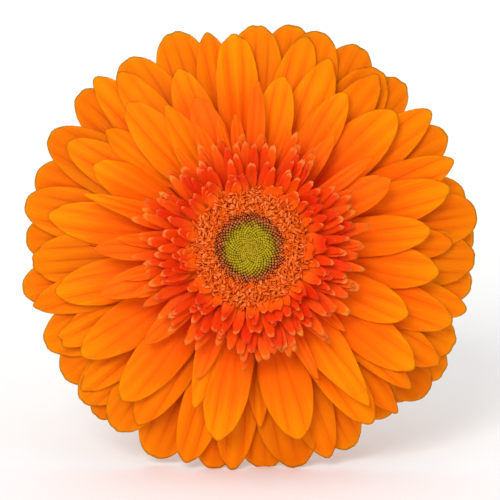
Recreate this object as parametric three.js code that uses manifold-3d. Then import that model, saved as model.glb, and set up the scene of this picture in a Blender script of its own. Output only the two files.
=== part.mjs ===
// A cut double gerbera, laid on its side on a flat surface.
//
// The flower head stands on the tips of its lowest ray florets, and its leafless stem slopes down behind it
// until the cut end touches the surface. Lengths are in millimetres and angles in degrees, +Z is up, the
// flower faces -Y and the stem runs towards +Y.
//
// The head is built about its own axis: +Z out of its face, +X to its right and +Y to its top. All that lies
// around the axis is stacked in layers. Layer 0 is the outermost row of ray florets, at the back, and each
// layer in front of it keeps the same clearance to the one behind.

import * as THREE from 'three';
import Module from 'manifold-3d';
import { mergeVertices } from 'three/addons/utils/BufferGeometryUtils.js';

const manifold = await Module();
manifold.setup();

// ---- Driving dimensions ----

const headRadius = 55.5;        // axis to the tip of the longest ray floret
const coreRadius = 10.5;        // bundle of ovaries that every floret grows from
const faceTilt = 12;            // the face looks up from the horizontal by this much
const restBend = 2;             // the surface pushes the lowest tips in by this much
const standHeight = headRadius - restBend;

const floretThickness = 0.55;
const layerGap = 0.35;          // clearance between one layer of florets and the next
const layerSpread = 0.8;        // share by which the layers stand further apart at the rim
const pieceGap = 0.3;           // clearance between other pieces that touch

const archRise = 9;             // slope that lifts the florets off the core ...
const rimDroop = 16;            // ... and the bend that lets their tips hang back

const clawWidth = 2.4;          // narrow foot of a ray floret
const shoulder = 0.52;          // it has its full width from here, foot 0 to tip 1 ...
const corner = 0.64;            // ... to here, where it turns into the rounded tip

const discOverhang = 3.3;       // open disc florets lean out past the core by this much
const discHeight = 3;
const budRadius = 7.1;          // closed buds in the middle of the disc
const budDome = 1.2;            // rise of their dome above its edge

const cupDepth = 15;            // green cup under the florets
const cupLip = 2.9;             // the cup's rim stands out past the core by this much
const cupRadius = coreRadius + cupLip;
const neckRadius = 2.7;         // stem just under the cup
const cutRadius = 3.4;          // stem at its cut end
const stemReach = 280;          // from the neck to the cut end, along the surface
const cutSlope = 4;             // the stem still slopes this much where it touches the surface

// ---- The ray florets: direction about the axis, then reach and width in percent of the head's radius ----
// Direction 0 is to the head's right and 90 its top. A tucked floret lies under neighbours as short as it is.

const frontRow = [
  [5.5, 79, 18], [17, 91, 20], [43.5, 87, 23], [59, 79.5, 17], [66.3, 90, 20], [79.8, 76, 17],
  [94.5, 94, 19], [112.6, 84.5, 18], [119.8, 72.5, 16], [130, 83, 19], [139.5, 81.5, 15, 'tucked'],
  [152, 77, 17], [161, 76, 9], [170.5, 89.5, 19], [193.5, 87, 20], [212, 87, 21], [230.5, 86.5, 21],
  [250, 73.5, 15], [261, 85, 20], [273.5, 78.5, 13, 'tucked'], [285, 86, 23], [308, 86, 18],
  [324.5, 88.5, 20], [336, 74.5, 18], [353, 83, 20],
];
const middleRow = [
  [22.8, 97, 20], [37.5, 99.5, 21], [53.5, 94.5, 20], [75.3, 96, 19], [101, 96.5, 18], [126, 96, 18],
  [131.5, 101, 19], [149.5, 92, 19], [194.5, 98.5, 19], [206, 94, 18], [221, 96.5, 17], [238, 91.5, 19],
  [253.5, 98, 19], [265, 98.5, 20], [290, 98, 22], [304, 93, 19], [312.5, 96.5, 15], [319.5, 93, 14],
  [328, 97, 19], [339, 94, 21], [344, 98.5, 18], [2.3, 88.5, 17],
];
const backRow = [
  [3.5, 98], [8.9, 100], [13.9, 97], [30, 99.5], [48.5, 99], [53.7, 96.5], [61, 100.5], [71.6, 99.5],
  [79, 99.5], [89, 97.5], [110.5, 100.5], [123.5, 98.5], [138, 101], [150.5, 100.5], [162, 99],
  [169.5, 100], [177.5, 98], [183.7, 95.5], [190, 101], [205.5, 99], [213.5, 99], [222.8, 99.5],
  [226.5, 100], [233, 99], [244, 100.5], [259.5, 98.5], [274.5, 99.5], [281.5, 97.5], [297, 98],
  [309.5, 95], [316.5, 95.5], [321, 100], [326.5, 101], [334, 99], [351, 98.5], [356.6, 98.5],
];
const innerRow = [
  [25.5, 68, 15], [36.8, 66, 7], [53, 61, 9], [69.7, 54.5, 5.5], [87, 72.5, 8], [96, 58.5, 7],
  [104.5, 57.5, 5.5], [108.5, 69.5, 15], [113.3, 57.5, 8], [125.8, 54, 5.5], [175.8, 58, 6.5],
  [179.5, 67.5, 11], [193.3, 56.5, 6.5], [196, 67.5, 13], [203.3, 56, 6.5], [222.5, 61.5, 10],
  [247, 61, 10], [297, 64, 6.5], [319.5, 54.5, 5.5],
];
const carrySpan = 13;           // florets this close to straight down may carry the head ...
const carryShare = 0.95;        // ... if they are at least this share of the length that reaches the surface

// ---- Colours ----

const frontOrange = { color: 0xff8205, roughness: 0.55, metalness: 0 };
const middleOrange = { color: 0xf57606, roughness: 0.55, metalness: 0 };
const backOrange = { color: 0xe56c02, roughness: 0.6, metalness: 0 };
const innerOrange = { color: 0xfb5f14, roughness: 0.55, metalness: 0 };
const transRed = { color: 0xf24a16, roughness: 0.6, metalness: 0 };
const discOrange = { color: 0xd06a20, roughness: 0.7, metalness: 0 };
const budGreen = { color: 0xb0a526, roughness: 0.7, metalness: 0 };
const ovaryCream = { color: 0xe6dcae, roughness: 0.8, metalness: 0 };
const leafGreen = { color: 0x5f7f36, roughness: 0.7, metalness: 0 };
const stemGreen = { color: 0x87a552, roughness: 0.65, metalness: 0 };

// ---- Layers ----

const layerStep = floretThickness + layerGap;
const radians = THREE.MathUtils.degToRad;

// Height of a layer's mid surface over the head's base plane, at a distance from the axis.
function layerHeight(radius, layer) {
  const out = (radius - coreRadius) / (headRadius - coreRadius);
  return archRise * out - rimDroop * out * out + layer * layerStep * (1 + layerSpread * out);
}

// Height above the surface that the flower lies on, for a point of the head.
function heightAboveSurface(x, y, z) {
  return standHeight + y * Math.cos(radians(faceTilt)) + z * Math.sin(radians(faceTilt));
}

// The reach at which a floret's tip just touches the surface.
function reachToSurface(direction, layer) {
  const down = Math.sin(radians(direction));
  let reach = headRadius;
  for (let pass = 0; pass < 20; pass += 1) {
    reach -= heightAboveSurface(0, reach * down, layerHeight(reach, layer)) / down;
  }
  return reach;
}

// The reach of a floret, once one that hangs to the surface rests its tip on it.
function restedReach({ direction, reach, layer }) {
  if (Math.abs(direction - 270) > carrySpan) {
    return reach;
  }
  const touching = reachToSurface(direction, layer);
  return reach > carryShare * touching ? touching : reach;
}

// ---- Ray florets ----

const turnedSegments = 30;

const bladeSides = 6;
const footShare = 0.12;         // the claw keeps its width over this much of the length
const tipWidth = 0.3;           // width left at the very tip, so that it stays a solid edge

function readRow(row) {
  return row.map(([direction, reach, width, lie]) => ({
    direction,
    reach: (reach / 100) * headRadius,
    width: (width / 100) * headRadius,
    order: lie === 'tucked' ? reach + 10 : reach,
  }));
}

// Half the width of a floret at a share of its length.
function halfWidth(floret, share) {
  const full = floret.width / 2;
  const claw = Math.min(clawWidth / 2, full);
  if (share < shoulder) {
    const rise = THREE.MathUtils.smoothstep(share, footShare, shoulder);
    return claw + (full - claw) * rise;
  }
  const fall = Math.max(0, (share - corner) / (1 - corner));
  return Math.max(tipWidth / 2, full * Math.sqrt(1 - fall ** 2));
}

function shareAt(floret, radius) {
  return (radius - coreRadius) / (floret.reach - coreRadius);
}

// True where two florets would meet if they lay in the same layer.
function crosses(a, b) {
  const turn = Math.abs(THREE.MathUtils.euclideanModulo(a.direction - b.direction + 180, 360) - 180);
  const end = Math.min(a.reach, b.reach);
  for (let radius = coreRadius; radius <= end; radius += 1) {
    const room = radius * radians(turn);
    if (room < halfWidth(a, shareAt(a, radius)) + halfWidth(b, shareAt(b, radius)) + layerGap) {
      return true;
    }
  }
  return false;
}

// Gives each floret the lowest layer that clears every floret placed before it. The longest lie at the back.
function stack(florets, placed, firstLayer) {
  for (const floret of [...florets].sort((a, b) => b.order - a.order)) {
    const under = placed.filter((other) => crosses(floret, other));
    floret.layer = under.reduce((layer, other) => Math.max(layer, other.layer + 1), firstLayer);
    floret.reach = restedReach(floret);
    placed.push(floret);
  }
}

// A thin blade, thickest along its middle. It starts as a six-sided bar and takes the floret's outline.
function bladeGeometry(floret, steps) {
  const blade = new THREE.CylinderGeometry(1, 1, 1, bladeSides, steps);
  const position = blade.attributes.position;
  const edge = Math.sin(Math.PI / 3);
  const direction = radians(floret.direction);
  for (let i = 0; i < position.count; i += 1) {
    const share = 1 - (0.5 - position.getY(i)) ** 1.5;
    const along = coreRadius + share * (floret.reach - coreRadius);
    const across = (position.getX(i) / edge) * halfWidth(floret, share);
    const x = along * Math.cos(direction) + across * Math.sin(direction);
    const y = along * Math.sin(direction) - across * Math.cos(direction);
    const z = layerHeight(Math.hypot(x, y), floret.layer) + (position.getZ(i) * floretThickness) / 2;
    position.setXYZ(i, x, y, z);
  }
  return blade;
}

// ---- Crowns: rows of florets or bracts that are joined at their feet ----

// A closed band around the axis whose outer edge runs out to a point at each tip and back between them.
// place(angle, share, reach) gives the point at a share of the way from the band's foot to its edge.
function crownGeometry(tips, notchShare, sides, thickness, place) {
  const band = new THREE.TorusGeometry(2, 1, sides, tips.length * 2);
  const position = band.attributes.position;
  for (let i = 0; i < position.count; i += 1) {
    const across = Math.hypot(position.getX(i), position.getY(i)) - 2;
    const turn = THREE.MathUtils.euclideanModulo(Math.atan2(position.getY(i), position.getX(i)), Math.PI * 2);
    const stop = Math.round((turn / (Math.PI * 2)) * tips.length * 2) % (tips.length * 2);
    const tip = tips[Math.floor(stop / 2)];
    const next = tips[(Math.floor(stop / 2) + 1) % tips.length];
    const step = THREE.MathUtils.euclideanModulo(next.direction - tip.direction, 360);
    const atTip = stop % 2 === 0;
    const angle = radians(atTip ? tip.direction : tip.direction + step / 2);
    const reach = atTip ? tip.reach : Math.min(tip.reach, next.reach) * notchShare;
    const point = place(angle, (across + 1) / 2, reach, (position.getZ(i) * thickness) / 2);
    position.setXYZ(i, point.x, point.y, point.z);
  }
  return band;
}

function evenTips(count, reach, start) {
  return Array.from({ length: count }, (unused, i) => ({ direction: start + (i * 360) / count, reach }));
}

// A crown whose florets lie in a layer of the head.
function floretCrown(tips, layer, sides, notchShare) {
  return crownGeometry(tips, notchShare, sides, floretThickness, (angle, share, reach, rise) => {
    const radius = coreRadius + share * (reach - coreRadius);
    return new THREE.Vector3(
      radius * Math.cos(angle),
      radius * Math.sin(angle),
      layerHeight(radius, layer) + rise,
    );
  });
}

// ---- Assembly ----

const flower = new THREE.Group();
const head = new THREE.Group();
head.rotation.x = radians(90 - faceTilt);
head.position.z = standHeight;
flower.add(head);

function addPiece(parent, name, geometry, look) {
  const piece = new THREE.Mesh(geometry, new THREE.MeshStandardMaterial(look));
  piece.name = name;
  parent.add(piece);
}

function numbered(name, index) {
  return `${name}_${String(index + 1).padStart(2, '0')}`;
}

// The outermost row: three dozen florets, partly hidden, joined at their claws.
const backLayer = 0;
const backTips = backRow.map(([direction, percent]) => {
  const reach = (percent / 100) * headRadius;
  return { direction, reach: restedReach({ direction, reach, layer: backLayer }) };
});
addPiece(head, 'ray_florets_back', floretCrown(backTips, backLayer, 10, 0.93), backOrange);

// The middle and front rows: each floret is a piece of its own.
const middleFlorets = readRow(middleRow);
const frontFlorets = readRow(frontRow);
const placedFlorets = [];
stack(middleFlorets, placedFlorets, backLayer + 1);
stack(frontFlorets, placedFlorets, backLayer + 1);
middleFlorets.forEach((floret, i) => {
  addPiece(head, numbered('ray_floret_middle', i), bladeGeometry(floret, 6), middleOrange);
});
frontFlorets.forEach((floret, i) => {
  addPiece(head, numbered('ray_floret_front', i), bladeGeometry(floret, 6), frontOrange);
});

// The short inner row: joined through a ring around the core.
const innerLayer = 1 + Math.max(...placedFlorets.map((floret) => floret.layer));
const innerFlorets = readRow(innerRow);
stack(innerFlorets, [], innerLayer);
const transLayer = 1 + Math.max(...innerFlorets.map((floret) => floret.layer));

function solidOf(geometry) {
  const bare = geometry.clone();
  bare.deleteAttribute('normal');
  bare.deleteAttribute('uv');
  const welded = mergeVertices(bare, 1e-4);
  return new manifold.Manifold(new manifold.Mesh({
    numProp: 3,
    vertProperties: new Float32Array(welded.attributes.position.array),
    triVerts: new Uint32Array(welded.index.array),
  }));
}

function geometryOf(solid) {
  const mesh = solid.getMesh();
  const geometry = new THREE.BufferGeometry();
  geometry.setAttribute('position', new THREE.BufferAttribute(mesh.vertProperties, 3));
  geometry.setIndex(new THREE.BufferAttribute(mesh.triVerts, 1));
  geometry.computeVertexNormals();
  return geometry;
}

// A solid turned about the head's axis from points of radius and height.
function turned(points) {
  const profile = points.map(([radius, height]) => new THREE.Vector2(radius, height));
  return new THREE.LatheGeometry(profile, turnedSegments).rotateX(Math.PI / 2);
}

// A plain ring around the core, from the bottom of one layer to the top of another.
function collarGeometry(width, firstLayer, lastLayer) {
  const outer = coreRadius + width;
  const corners = [
    [coreRadius, layerHeight(coreRadius, firstLayer) - floretThickness / 2],
    [outer, layerHeight(outer, firstLayer) - floretThickness / 2],
    [outer, layerHeight(outer, lastLayer) + floretThickness / 2],
    [coreRadius, layerHeight(coreRadius, lastLayer) + floretThickness / 2],
  ];
  return turned([...corners, corners[0]]);
}

const collarWidth = 2.2;
const innerCollar = solidOf(collarGeometry(collarWidth, innerLayer, transLayer - 1));
const innerBlades = innerFlorets.map((floret) => solidOf(bladeGeometry(floret, 5)));
const innerCrown = innerBlades.reduce((joined, blade) => joined.add(blade), innerCollar);
addPiece(head, 'ray_florets_inner', geometryOf(innerCrown), innerOrange);

// The trans florets: small and narrow, in rows that grow shorter towards the middle.
const transRows = [
  { name: 'trans_florets_outer', count: 38, reach: 27.5, start: 4 },
  { name: 'trans_florets_middle', count: 34, reach: 23, start: 0 },
  { name: 'trans_florets_inner', count: 30, reach: 18, start: 6 },
];
transRows.forEach(({ name, count, reach, start }, i) => {
  addPiece(head, name, floretCrown(evenTips(count, reach, start), transLayer + i, 6, 0.86), transRed);
});

// The disc: open florets around a dome of closed buds, on the bundle of ovaries.
const discRadius = coreRadius + discOverhang;
const discBase = layerHeight(discRadius, transLayer + transRows.length - 1) + floretThickness / 2 + pieceGap;
addPiece(head, 'disc_florets_open', turned([
  [budRadius + pieceGap, discBase],
  [discRadius - 1, discBase],
  [discRadius, discBase + 0.5 * discHeight],
  [discRadius - 1.2, discBase + discHeight],
  [budRadius + 1.6, discBase + 0.9 * discHeight],
  [budRadius + pieceGap, discBase + 0.6 * discHeight],
  [budRadius + pieceGap, discBase],
]), discOrange);
addPiece(head, 'disc_buds', turned([
  [0, discBase],
  [budRadius - 0.4, discBase],
  [budRadius, discBase + 0.4 * discHeight],
  [0.82 * budRadius, discBase + 0.6 * discHeight + 0.55 * budDome],
  [0.45 * budRadius, discBase + 0.6 * discHeight + budDome],
  [0, discBase + 0.6 * discHeight + 0.9 * budDome],
]), budGreen);
addPiece(head, 'ovaries_and_pappus', turned([
  [0, -floretThickness],
  [coreRadius - pieceGap, -floretThickness],
  [coreRadius - pieceGap, discBase - pieceGap],
  [0, discBase - pieceGap],
]), ovaryCream);

// The green cup: a receptacle with two rows of bracts around it. angle 0 is its bottom and 90 its rim.
function cupPoint(angle, outset) {
  const bend = radians(angle);
  return [
    neckRadius + (cupRadius - neckRadius) * Math.sin(bend) + outset * Math.sin(bend),
    -cupDepth * Math.cos(bend) - outset * Math.cos(bend),
  ];
}

const cupAngles = [8, 20, 32, 44, 56, 68, 80];
const receptacleTop = -floretThickness - pieceGap;
addPiece(head, 'receptacle', turned([
  [0, cupPoint(0, 0)[1]],
  ...cupAngles.map((angle) => cupPoint(angle, 0)),
  [coreRadius, receptacleTop],
  [0, receptacleTop],
]), leafGreen);

const bractThickness = 0.8;
const bractGap = 0.5;
const bractFoot = 14;           // the bracts start this far up the cup, in degrees
const bractRows = [
  { name: 'bracts_inner', count: 16, tip: 84, start: 0 },
  { name: 'bracts_outer', count: 14, tip: 66, start: 9 },
];
bractRows.forEach(({ name, count, tip, start }, i) => {
  const outset = bractGap + bractThickness / 2 + i * (bractThickness + bractGap);
  const place = (angle, share, reach, rise) => {
    const [radius, height] = cupPoint(bractFoot + share * (reach - bractFoot), outset - rise);
    return new THREE.Vector3(radius * Math.cos(angle), radius * Math.sin(angle), height);
  };
  addPiece(head, name, crownGeometry(evenTips(count, tip, start), 0.8, 12, bractThickness, place), leafGreen);
});

// The stem: bare and round, thicker at its cut end. It leaves square to the face and sinks to the surface.
head.updateMatrixWorld(true);
const neck = new THREE.Vector3(0, 0, -cupDepth - pieceGap).applyMatrix4(head.matrixWorld);
const cut = new THREE.Vector3(0, neck.y + stemReach, cutRadius * Math.cos(radians(cutSlope)));
const leaving = new THREE.Vector3(0, Math.cos(radians(faceTilt)), -Math.sin(radians(faceTilt)));
const landing = new THREE.Vector3(0, Math.cos(radians(cutSlope)), -Math.sin(radians(cutSlope)));
const stemLine = new THREE.CubicBezierCurve3(
  neck,
  neck.clone().addScaledVector(leaving, stemReach * 0.45),
  cut.clone().addScaledVector(landing, -stemReach * 0.3),
  cut,
);

const stemGeometry = new THREE.CylinderGeometry(1, 1, 1, 12, 16);
const stemPosition = stemGeometry.attributes.position;
for (let i = 0; i < stemPosition.count; i += 1) {
  const share = stemPosition.getY(i) + 0.5;
  const radius = neckRadius + (cutRadius - neckRadius) * share;
  const point = stemLine.getPoint(share);
  const along = stemLine.getTangent(share);
  const over = new THREE.Vector3(1, 0, 0).cross(along);
  point.x += stemPosition.getX(i) * radius;
  point.addScaledVector(over, stemPosition.getZ(i) * radius);
  stemPosition.setXYZ(i, point.x, point.y, point.z);
}
addPiece(flower, 'stem', stemGeometry, stemGreen);

// The origin: the middle of the flower's base box, on the surface.
const extent = new THREE.Box3().setFromObject(flower, true);
const middle = extent.getCenter(new THREE.Vector3());
flower.position.set(-middle.x, -middle.y, -extent.min.z);

const gerbera = new THREE.Group();
gerbera.add(flower);

export default gerbera;
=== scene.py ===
import math, random
import bmesh
import bpy
import numpy as np
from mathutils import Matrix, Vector


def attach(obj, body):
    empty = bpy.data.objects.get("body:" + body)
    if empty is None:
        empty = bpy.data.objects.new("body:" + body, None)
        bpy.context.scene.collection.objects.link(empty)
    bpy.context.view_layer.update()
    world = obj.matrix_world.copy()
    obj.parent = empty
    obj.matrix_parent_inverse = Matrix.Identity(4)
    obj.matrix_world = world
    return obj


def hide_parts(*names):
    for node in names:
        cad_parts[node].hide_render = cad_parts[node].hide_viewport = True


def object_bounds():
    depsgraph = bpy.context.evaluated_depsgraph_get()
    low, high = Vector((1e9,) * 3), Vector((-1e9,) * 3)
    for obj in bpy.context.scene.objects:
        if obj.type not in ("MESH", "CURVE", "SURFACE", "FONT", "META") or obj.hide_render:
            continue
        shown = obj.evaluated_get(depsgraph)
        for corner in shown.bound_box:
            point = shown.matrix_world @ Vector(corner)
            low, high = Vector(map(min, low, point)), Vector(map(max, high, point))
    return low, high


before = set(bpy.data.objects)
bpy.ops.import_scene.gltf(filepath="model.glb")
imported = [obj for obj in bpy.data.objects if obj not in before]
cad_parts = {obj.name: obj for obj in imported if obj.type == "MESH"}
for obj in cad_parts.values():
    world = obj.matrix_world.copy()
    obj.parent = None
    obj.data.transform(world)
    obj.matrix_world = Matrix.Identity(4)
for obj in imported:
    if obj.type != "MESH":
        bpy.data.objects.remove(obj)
cad_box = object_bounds()

# ---- Floor, light and camera ----
# A plain white table, a broad soft light from the front and a camera square to the flower's face. The head's
# axes come from two CAD pieces that are turned about its middle line: the buds and the receptacle.


def points_of(node):
    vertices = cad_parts[node].data.vertices
    points = np.empty(len(vertices) * 3)
    vertices.foreach_get("co", points)
    return points.reshape(-1, 3)


def unit(vector):
    return vector / np.linalg.norm(vector)


BASE_DROP = 0.85e-3     # the receptacle's top lies this far under the head's base plane
face = unit(points_of("disc_buds").mean(0) - points_of("receptacle").mean(0))
right = np.array([1.0, 0.0, 0.0])
top = unit(np.cross(face, right))
receptacle_points = points_of("receptacle")
receptacle_top = ((receptacle_points - receptacle_points.mean(0)) @ face).max()
base = receptacle_points.mean(0) + face * (receptacle_top + BASE_DROP)
head_axes = np.column_stack([right, top, face])


def to_head(points):
    return (points - base) @ head_axes


def from_head(points):
    return points @ head_axes.T + base


CAMERA_DISTANCE = 1.5
CAMERA_AIM = -0.4e-3    # the view's middle, from the head's axis towards its top
CAMERA_NEAR, CAMERA_FAR = 0.05, 50.0
HEAD_SHARE = 0.911      # the head fills this much of the view's width
SENSOR_WIDTH = 36.0     # in millimetres
head_width = cad_box[1].x - cad_box[0].x
camera = bpy.data.objects.new("camera", bpy.data.cameras.new("camera"))
camera.data.sensor_width = SENSOR_WIDTH
camera.data.lens = SENSOR_WIDTH * CAMERA_DISTANCE * HEAD_SHARE / head_width
camera.data.clip_start = CAMERA_NEAR
camera.data.clip_end = CAMERA_FAR
camera.location = from_head(np.array([0.0, CAMERA_AIM, CAMERA_DISTANCE]))
camera.rotation_mode = "QUATERNION"
camera.rotation_quaternion = Vector(face).to_track_quat("Z", "Y")
bpy.context.collection.objects.link(camera)
bpy.context.scene.camera = camera
bpy.context.scene.view_settings.view_transform = "Standard"


def linear(red, green, blue):
    """A colour from display values of 0 to 255."""
    parts = [value / 255 for value in (red, green, blue)]
    return tuple(p / 12.92 if p <= 0.04045 else ((p + 0.055) / 1.055) ** 2.4 for p in parts) + (1.0,)


class Wire:
    """A node's output that takes part in Python sums. Each sum adds its node to the tree."""

    def __init__(self, tree, socket=None):
        self.tree, self.socket = tree, socket

    def make(self, kind, settings=None, inputs=None, output=0):
        node = self.tree.nodes.new(kind)
        for name, value in (settings or {}).items():
            setattr(node, name, value)
        for key, value in (inputs or {}).items():
            if isinstance(value, Wire):
                self.tree.links.new(value.socket, node.inputs[key])
            else:
                node.inputs[key].default_value = value
        return Wire(self.tree, node.outputs[output])

    def other(self, output):
        """Another output of the node that this wire comes from."""
        return Wire(self.tree, self.socket.node.outputs[output])

    def math(self, operation, *values, clamp=False):
        settings = {"operation": operation, "use_clamp": clamp}
        return self.make("ShaderNodeMath", settings, dict(enumerate(values)))

    def __add__(self, other):
        return self.math("ADD", self, other)

    def __radd__(self, other):
        return self.math("ADD", other, self)

    def __sub__(self, other):
        return self.math("SUBTRACT", self, other)

    def __rsub__(self, other):
        return self.math("SUBTRACT", other, self)

    def __mul__(self, other):
        return self.math("MULTIPLY", self, other)

    def __rmul__(self, other):
        return self.math("MULTIPLY", other, self)

    def __pow__(self, other):
        return self.math("POWER", self, other)

    def clamped(self):
        return self.math("ADD", self, 0.0, clamp=True)

    def step(self, low, high):
        """0 below low, 1 above high, and smooth between them."""
        inputs = {0: self, 1: low, 2: high}
        return self.make("ShaderNodeMapRange", {"interpolation_type": "SMOOTHSTEP"}, inputs)

    def blend(self, *colours):
        """A colour between two, by this wire's share. Plain numbers are display values of 0 to 255."""
        first, second = (colour if isinstance(colour, Wire) else linear(*colour) for colour in colours)
        return self.make("ShaderNodeMix", {"data_type": "RGBA"}, {0: self, 6: first, 7: second}, output=2)

    def noise(self, vector, scale, detail=2.0):
        inputs = {"Vector": vector, "Scale": scale, "Detail": detail}
        return self.make("ShaderNodeTexNoise", None, inputs)

    def stretched(self, vector, scale):
        return self.make("ShaderNodeMapping", None, {"Vector": vector, "Scale": scale})

    def attribute(self, name, output=2):
        """What the mesh holds under this name: its output 2 is a number and 1 a vector."""
        return self.make("ShaderNodeAttribute", {"attribute_name": name}, output=output)

    def place(self):
        return self.make("ShaderNodeTexCoord", output=3)

    def bump(self, distance, strength):
        inputs = {"Height": self, "Distance": distance, "Strength": strength}
        return self.make("ShaderNodeBump", None, inputs)


def new_material(name, roughness=0.5, specular=0.5, flesh=0.0, depth=1e-3, glow=(1.0, 0.3, 0.1)):
    """A material and its first wire. Light goes into its flesh, to a depth, and comes out with a glow."""
    material = bpy.data.materials.new(name)
    material.use_nodes = True
    constants = {"Roughness": roughness, "Specular IOR Level": specular, "Subsurface Weight": flesh,
                 "Subsurface Scale": depth, "Subsurface Radius": glow}
    for key, value in constants.items():
        material.node_tree.nodes["Principled BSDF"].inputs[key].default_value = value
    return material, Wire(material.node_tree)


def finished(material, colour, roughness=None, normal=None):
    """The material, with what varies over its surface linked to the shader."""
    surface = material.node_tree.nodes["Principled BSDF"]
    for key, wire in (("Base Color", colour), ("Roughness", roughness), ("Normal", normal)):
        if wire is not None:
            material.node_tree.links.new(wire.socket, surface.inputs[key])
    return material


def add_mesh(name, points, faces, material):
    """A mesh object at the origin, smooth shaded, from points in the row frame."""
    mesh = bpy.data.meshes.new(name)
    mesh.from_pydata(np.asarray(points).tolist(), [], faces)
    mesh.shade_smooth()
    mesh.materials.append(material)
    piece = bpy.data.objects.new(name, mesh)
    bpy.context.collection.objects.link(piece)
    return piece


TABLE_HALF = 6.0
table_material, pen = new_material("table_white", roughness=0.7)
finished(table_material, pen.noise(pen.place(), 40.0).blend((249, 249, 249), (252, 252, 252)))
table_corners = np.array([[-1, -1, 0], [1, -1, 0], [1, 1, 0], [-1, 1, 0]]) * TABLE_HALF
table = add_mesh("table", table_corners, [(0, 1, 2, 3)], table_material)

SKY_STRENGTH = 0.86
KEY_STRENGTH = 1.5
KEY_SPREAD = math.radians(24.0)
KEY_FROM = Vector((-0.3, -1.0, 0.62))   # the front, a little above and to the left
world = bpy.data.worlds.new("studio")
world.use_nodes = True
sky = world.node_tree.nodes["Background"]
sky.inputs["Color"].default_value = (1.0, 1.0, 1.0, 1.0)
sky.inputs["Strength"].default_value = SKY_STRENGTH
bpy.context.scene.world = world
light = bpy.data.lights.new("key", "SUN")
light.energy = KEY_STRENGTH
light.angle = KEY_SPREAD
lamp = bpy.data.objects.new("key", light)
lamp.rotation_euler = KEY_FROM.to_track_quat("Z", "Y").to_euler()
bpy.context.collection.objects.link(lamp)

# ---- Ray florets ----
# The long florets of the head: thin living blades, narrow at the foot, with two grooves along them, three
# small teeth at the tip and thin edges. They grow around the core, row behind row.

BLADE_COLUMNS = 18
BLADE_ROWS = 30
BLADE_THICKNESS = 0.42e-3
CLAW_HALF = 1.25e-3
GROOVES = (-0.34, 0.31)     # where they run, from one side -1 to the other 1
CLAW_CHANNEL = 0.35         # how steeply the sides of the narrow foot rise
OPENING = (0.05, 0.5)       # the share of the way over which the foot opens into the blade
CLAW_END = 0.1              # the foot is narrow up to this share of the way
CURL_FROM = 0.7             # the tip curls from here on
FOLD_ROUNDING = 0.03
RUFFLE_TURNS = 17.0         # of the wave along the edge, in radians
EDGE_THINNING, TIP_THINNING = 6, 14     # the higher the power, the nearer to its edge a blade thins
EDGE_CROWDING = 0.6         # how much closer its points lie at the side edges ...
TIP_CROWDING = 1.2          # ... and the power that brings them together at the tip
TIP_ZONE = 0.2e-3           # what lies this near to a solid's furthest point is its tip
seed = random.Random(41)


def smooth(low, high, value):
    share = np.clip((value - low) / (high - low), 0.0, 1.0)
    return share * share * (3.0 - 2.0 * share)


def read_blade(node):
    """Direction, foot, reach, half width and height curve of a floret's CAD solid, in the head's axes."""
    points = to_head(points_of(node))
    radius = np.hypot(points[:, 0], points[:, 1])
    tip = points[radius > radius.max() - TIP_ZONE].mean(0)
    direction = math.atan2(tip[1], tip[0])
    along = points[:, 0] * math.cos(direction) + points[:, 1] * math.sin(direction)
    across = points[:, 0] * math.sin(direction) - points[:, 1] * math.cos(direction)
    curve = np.polyfit(radius, points[:, 2], 2)
    return {"direction": direction, "foot": along.min(), "reach": along.max(), "half": np.abs(across).max(),
            "curve": curve}


def blade_character(blade, row):
    """What makes one floret differ from the next."""
    more = {
        "claw": CLAW_HALF,
        "shoulder": seed.uniform(0.46, 0.54),       # the blade has its full width from here ...
        "corner": seed.uniform(0.6, 0.65),          # ... to here, where its side turns into the rounded tip
        "round": seed.uniform(1.8, 2.2),
        "point": seed.uniform(0.56, 0.68),
        "teeth": seed.uniform(0.0, 0.5) * 1e-3,
        "grooves": tuple(place + seed.uniform(-0.09, 0.09) for place in GROOVES),
        "groove": seed.uniform(0.3, 0.75) * 1e-3,
        "groove_width": seed.uniform(0.11, 0.19),
        "fold": seed.uniform(-0.26, 0.16),          # the blade bends along a line ...
        "fold_at": seed.uniform(-0.3, 0.3),         # ... that runs here
        "cup": seed.uniform(-0.09, 0.02),
        "curl": seed.uniform(-1.2, 0.5) * 1e-3,
        "twist": seed.uniform(-0.09, 0.09),
        "sway": seed.uniform(-0.8, 0.8) * 1e-3,
        "ruffle": seed.uniform(0.05, 0.25) * 1e-3,
        "phase": seed.uniform(0.0, 6.28),
        "tone": seed.uniform(0.0, 1.0),
    }
    more.update(row)
    return {**blade, **more}


def quads(index, turned=False):
    """The faces of a grid, from its points' numbers. Turned, they look the other way."""
    corners = [index[:-1, :-1], index[:-1, 1:], index[1:, 1:], index[1:, :-1]]
    if turned:
        corners = [corners[0], *corners[:0:-1]]
    return np.stack(corners, -1).reshape(-1, 4)


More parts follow.
